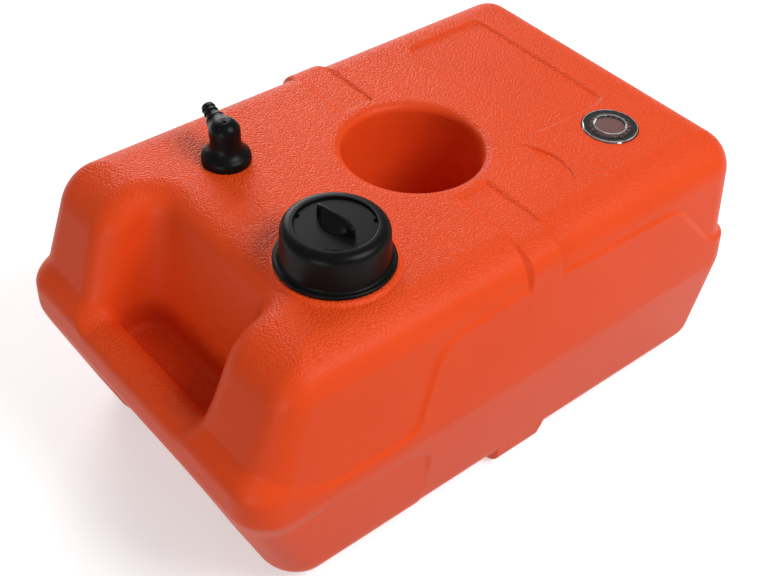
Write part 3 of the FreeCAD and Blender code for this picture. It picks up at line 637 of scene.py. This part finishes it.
def clear_cover():
    """Clear plastic of the gauge's cover."""
    material, nodes, links = new_material("clear_cover_look")
    shader = nodes["Principled BSDF"]
    shader.inputs["Base Color"].default_value = (0.95, 0.95, 0.95, 1)
    shader.inputs["Roughness"].default_value = 0.08
    shader.inputs["IOR"].default_value = 1.49
    shader.inputs["Transmission Weight"].default_value = 1.0
    return material


def dress(material, *names):
    """Gives CAD pieces a material."""
    for name in names:
        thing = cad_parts[name]
        thing.data.materials.clear()
        thing.data.materials.append(material)


# ---------------------------------------------------------------- pieces
def near_steps(x, y, z, reach):
    """Where the top has a step: the panel, the badge and the gauge's seat."""
    from_gauge = np.hypot(x - GAUGE[0], y - GAUGE[1]) - GAUGE_SEAT_RADIUS
    close = np.minimum(np.minimum(np.abs(label_field(x, y)), np.abs(badge_field(x, y))), np.abs(from_gauge))
    return (close < reach) & (z > HEIGHT - 8)


def finer_zone(x, y, z):
    """Where the steps, the hoop, the belt and the cap's boss ask for a mesh half as coarse."""
    hoop = (np.abs(np.abs(x - WELL_X) - HOOP_HALF) < 6) & (z > PARTING + 30)
    hoop &= np.hypot(x - WELL_X, y) > WELL_RADIUS
    belt = (np.abs(belt_field(x, z)) < 7) & (np.maximum(np.abs(y) / WIDTH, np.abs(x) / LENGTH) > 0.42)
    boss = (np.abs(np.hypot(x - CAP[0], y - CAP[1]) - CAP_BOSS_RADIUS) < 5) & (z > HEIGHT - 8)
    return near_steps(x, y, z, 9) | hoop | belt | boss


def finest_zone(x, y, z):
    return near_steps(x, y, z, 3.5)


def tank_body(pitch):
    low = (-LENGTH / 2 - 6, -WIDTH / 2 - 6, -6)
    high = (LENGTH / 2 + 6, WIDTH / 2 + 6, HEIGHT + 12)
    return field_mesh("tank_body", tank_field, low, high, pitch, (finer_zone, finest_zone))


def neck():
    """Filler neck with its outside thread, that shows when the cap is off."""
    foot = HEIGHT - 4
    start = HEIGHT + CAP_BOSS_RISE + 3
    rows = int((NECK_TOP - foot) / NECK_ROW)
    root = NECK_RADIUS - THREAD_DEPTH
    outer = [(root, foot + (NECK_TOP - 1.2 - foot) * k / rows) for k in range(rows + 1)]
    top = [(root - 1.0, NECK_TOP), (NECK_BORE + 1.0, NECK_TOP), (NECK_BORE, NECK_TOP - 1.0)]

    def thread(angles, radius, z):
        if radius < root:
            return 0 * angles
        turn = (z - start) / THREAD_PITCH - angles / (2 * math.pi)
        ridge = np.clip(1.6 - np.abs((turn % 1.0) - 0.5) * 6.4, 0, 1)
        ends = np.clip(np.minimum(turn, THREAD_TURNS - turn) * 6, 0, 1)
        return THREAD_DEPTH * ridge * ends

    return lathe("filler_neck", outer + top + [(NECK_BORE, foot)], *CAP, steps=128, radius_shift=thread)


def knob_field(x, y, z):
    """Wing knob: a thin crest that flows down into a round foot, hollow below for its washer."""
    turn = math.radians(KNOB_TURN)
    along = (y - CAP[1]) * math.cos(turn) - (x - CAP[0]) * math.sin(turn)
    across = (x - CAP[0]) * math.cos(turn) + (y - CAP[1]) * math.sin(turn)
    foot = CAP_LID + KNOB_GAP
    share = np.clip(np.abs(along) / KNOB_HALF, 0, 1)
    crest = KNOB_BASE - foot + KNOB_TOP - np.where(along > 0, *KNOB_FALL) * share ** 1.8
    end = np.sqrt(np.clip(1 - share ** 4, 0, 1))
    down = np.clip(1 - (z - foot) / crest, 0, 1)
    spread = KNOB_SPREAD * np.clip(1 - (along / KNOB_SPREAD_REACH) ** 2, 0, 1) * down ** 1.6
    half = KNOB_EDGE + 0.8 * end * down + spread
    blade = cut_round(np.abs(across) - half, z - foot - crest, KNOB_CREST_ROUND)
    blade = cut_round(blade, np.abs(along) - KNOB_HALF, KNOB_END_ROUND)
    blade = np.maximum(blade, foot - z)
    inside = np.hypot(x - CAP[0], y - CAP[1]) - SEAL_RADIUS
    return np.maximum(blade, -np.maximum(inside, z - KNOB_BASE))


def elbow_field(x, y, z):
    """Bell of the pick-up with the root of its tail, hollow below for the collar and the pipe."""
    h = z - BELL_BASE
    radius = np.hypot(x - PICKUP[0], y - PICKUP[1])
    foot = cut_round(radius - BELL_FOOT[0], h - BELL_FOOT[1], BELL_FOOT[2])
    low, head, top, crown = BELL_BODY
    body = cut_round(radius - mix(low, head, np.clip(h / top, 0, 1)), h - top, crown)
    bell = cut_round(join_round(foot, body, BELL_FILLET), radius - BELL_FOOT[0], 1.5)
    turn = math.radians(TAIL_TURN)
    tilt = math.radians(TAIL_TILT)
    out = (x - PICKUP[0]) * math.cos(turn) + (y - PICKUP[1]) * math.sin(turn)
    rise = z - HEIGHT - TAIL_HEIGHT
    along = out * math.cos(tilt) + rise * math.sin(tilt)
    away = np.sqrt(np.maximum((x - PICKUP[0]) ** 2 + (y - PICKUP[1]) ** 2 + rise ** 2 - along ** 2, 0))
    start, end, wide, narrow = TAIL_BOSS
    radii = mix(wide, narrow, np.clip((along - start) / (end - start), 0, 1))
    root = cut_round(away - radii, along - end, 1.0)
    bell = join_round(bell, np.maximum(root, -along), 2.5)
    mark_x, mark_y, size = BELL_MARK
    mark = np.sqrt((x - PICKUP[0] - mark_x) ** 2 + (y - PICKUP[1] - mark_y) ** 2 + (h - top) ** 2) - size
    bell = cut_round(bell, -mark, 0.4)
    bell = np.maximum(bell, -h)
    for reach, height in BELL_HOLLOWS:
        bell = np.maximum(bell, -np.maximum(radius - reach, h - height))
    return bell


def gauge_cover():
    """Clear cover: a low rim, a shallow slope and a raised ring round the window."""
    rim = [(21.25, 227.3), (21.3, 228.2), (21.0, 228.9), (20.3, 229.1), (19.6, 228.95)]
    slope = [(16.5, 229.3), (14.2, 229.5), (13.2, 229.7)]
    ring = [(12.9, 230.2), (12.5, 230.5), (12.1, 230.5), (11.7, 230.2), (11.5, 229.85)]
    window = [(6.0, 229.95), (0.05, 230.0), (0.05, 228.8), (11.0, 228.7), (19.8, 227.9), (20.1, 227.3)]
    return lathe("gauge_cover", rim + slope + ring + window, *GAUGE)


def gauge_ribs():
    """Ring of small ribs under the cover, round the window."""
    points = []
    faces = []
    for k in range(RIB_COUNT):
        turn = 2 * math.pi * k / RIB_COUNT
        along = np.array((math.cos(turn), math.sin(turn), 0))
        side = np.array((-math.sin(turn), math.cos(turn), 0)) * RIB_HALF
        centre = np.array((GAUGE[0], GAUGE[1], 0))
        b = len(points)
        for radius, z in ((12.6, 227.25), (15.8, 227.25), (15.6, 228.35), (12.8, 228.35)):
            middle = centre + along * radius + np.array((0, 0, z))
            points += [middle - side, middle + side]
        faces += [tuple(b + corner for corner in face) for face in BAR_FACES]
    return mesh_object("gauge_ribs", points, faces)


def gauge_painted_glints():
    """Painted highlights: pale rings that stand in for the glints on the cover's rim and on the raised ring
    round the window.
    """
    outer = [(21.3, 228.3), (21.15, 229.15), (20.7, 229.25), (20.5, 228.7), (20.8, 228.2)]
    inner = [(13.1, 229.9), (12.9, 230.55), (12.2, 230.55), (12.0, 229.9)]
    return lathe("gauge_painted_glint_outer", outer, *GAUGE), lathe("gauge_painted_glint_inner", inner, *GAUGE)


def around(centre, reach, low, high):
    """Two corners of a box round an upright axis."""
    x, y = centre
    return (x - reach, y - reach, low), (x + reach, y + reach, high)


def wear(thing, material, body, slot, *nodes):
    """Puts a new piece on its body with its material, in the place of these CAD pieces. The slot argument is
    not used.
    """
    thing.data.materials.append(material)
    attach(thing, body)
    if nodes:
        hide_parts(*nodes)


plastic = tank_plastic()
wear(tank_body(2.0), plastic, "tank", "tank_plastic", "tank_shell")
wear(neck(), plastic, "tank", "tank_plastic")

black = black_plastic()
dress(black, "filler_cap_shell", "filler_cap_lid", "vent_stem", "vent_retainer", "pickup_hose_tail",
      "pickup_collar", "gauge_housing")
wing_knob = field_mesh("wing_knob", knob_field, *around(CAP, 19, CAP_LID - 2, CAP_LID + 12), 0.4)
wear(wing_knob, black, "vent", "black_plastic", "vent_knob")
pickup_bell = field_mesh("pickup_bell", elbow_field, *around(PICKUP, 21, BELL_BASE - 2, BELL_BASE + 38), 0.7)
wear(pickup_bell, black, "pickup", "black_plastic", "pickup_elbow")
wear(gauge_cover(), clear_cover(), "tank", "clear_cover", "gauge_lens")
ribs = plain_look("rib_look", (0.20, 0.05, 0.04), (0.34, 0.10, 0.08), 0.2)
wear(gauge_ribs(), ribs, "tank", "gauge_ring")
# painted highlights: a colour mottled from dark to pale, standing in for the glints on the clear cover
painted_glint = plain_look("painted_glint_look", (0.03, 0.03, 0.03), (0.62, 0.60, 0.59), 0.15, scale=260)
for ring in gauge_painted_glints():
    wear(ring, painted_glint, "tank", "clear_cover")
dress(plain_look("rubber_look", (0.012, 0.012, 0.012), (0.025, 0.025, 0.025), 0.6),
      "filler_cap_gasket", "vent_seal", "pickup_seal", "gauge_gasket")
dress(plain_look("natural_look", (0.62, 0.60, 0.54), (0.70, 0.68, 0.62), 0.45),
      "pickup_dip_tube", "pickup_strainer", "gauge_guide_foot", "gauge_float_follower")
dress(plain_look("foam_look", (0.02, 0.02, 0.02), (0.05, 0.05, 0.05), 0.8), "gauge_float")
dress(plain_look("brass_look", (0.50, 0.36, 0.15), (0.62, 0.46, 0.20), 0.3, 1.0),
      "gauge_spiral_strip", "gauge_guide_rods")
dress(plain_look("dial_look", (0.20, 0.045, 0.04), (0.42, 0.16, 0.13), 0.5, scale=700), "gauge_dial")
dress(plain_look("ring_look", (0.006, 0.006, 0.007), (0.012, 0.012, 0.013), 0.25), "gauge_bezel")


# ---------------------------------------------------------------- floor, light and camera
def floor():
    mesh = bpy.data.meshes.new("floor")
    reach = 6.0
    mesh.from_pydata([(-reach, -reach, 0), (reach, -reach, 0), (reach, reach, 0), (-reach, reach, 0)], [],
                     [(0, 1, 2, 3)])
    thing = bpy.data.objects.new("floor", mesh)
    bpy.context.scene.collection.objects.link(thing)
    material, nodes, links = new_material("floor_look")
    shader = nodes["Principled BSDF"]
    shader.inputs["Roughness"].default_value = 0.9
    shader.inputs["Specular IOR Level"].default_value = 0.0
    path = nodes.new("ShaderNodeLightPath")
    seen = nodes.new("ShaderNodeMath")
    seen.operation = "MAXIMUM"
    links.new(path.outputs["Is Camera Ray"], seen.inputs[0])
    links.new(path.outputs["Is Transmission Ray"], seen.inputs[1])
    shown = nodes.new("ShaderNodeMath")
    shown.operation = "MAXIMUM"
    links.new(seen.outputs["Value"], shown.inputs[0])
    links.new(path.outputs["Is Glossy Ray"], shown.inputs[1])
    pale = nodes.new("ShaderNodeMix")
    pale.data_type = "RGBA"
    pale.inputs["A"].default_value = (0.45, 0.45, 0.45, 1)
    pale.inputs["B"].default_value = (0.72, 0.72, 0.72, 1)
    links.new(shown.outputs["Value"], pale.inputs["Factor"])
    links.new(pale.outputs["Result"], shader.inputs["Base Color"])
    shader.inputs["Emission Color"].default_value = (1, 1, 1, 1)
    lift = nodes.new("ShaderNodeMath")
    lift.operation = "MULTIPLY"
    lift.inputs[1].default_value = FLOOR_LIFT
    links.new(shown.outputs["Value"], lift.inputs[0])
    links.new(lift.outputs["Value"], shader.inputs["Emission Strength"])
    thing.data.materials.append(material)
    return thing


def area_light(name, place, target, size, power):
    data = bpy.data.lights.new(name, "AREA")
    data.size = size
    data.energy = power
    lamp = bpy.data.objects.new(name, data)
    bpy.context.scene.collection.objects.link(lamp)
    lamp.location = place
    away = lamp.location - Vector(target)
    lamp.rotation_euler = away.to_track_quat("Z", "Y").to_euler()
    return lamp


def world_light(strength):
    world = bpy.data.worlds.new("studio")
    world.use_nodes = True
    world.node_tree.nodes["Background"].inputs["Color"].default_value = (1, 1, 1, 1)
    world.node_tree.nodes["Background"].inputs["Strength"].default_value = strength
    bpy.context.scene.world = world


def camera():
    heading = math.radians(CAMERA_HEADING)
    dip = math.radians(CAMERA_DIP)
    roll = math.radians(CAMERA_ROLL)
    forward = np.array((math.cos(dip) * math.cos(heading), math.cos(dip) * math.sin(heading), -math.sin(dip)))
    right = np.array((math.sin(heading), -math.cos(heading), 0))
    down = np.cross(forward, right)
    across = right * math.cos(roll) + down * math.sin(roll)
    up = right * math.sin(roll) - down * math.cos(roll)
    data = bpy.data.cameras.new("camera")
    data.lens = CAMERA_LENS
    data.sensor_width = 36.0
    data.clip_end = 100.0
    thing = bpy.data.objects.new("camera", data)
    columns = np.stack((across, up, -forward), axis=1)
    turn = Matrix([[float(v) for v in row] for row in columns]).to_4x4()
    thing.matrix_world = Matrix.Translation([v * MM for v in CAMERA_PLACE]) @ turn
    bpy.context.scene.collection.objects.link(thing)
    bpy.context.scene.camera = thing


floor()
for name, place, size, power in LIGHTS:
    area_light(name, place, LIGHT_TARGET, size, power)
world_light(WORLD_LEVEL)
camera()
bpy.context.scene.view_settings.view_transform = "Standard"
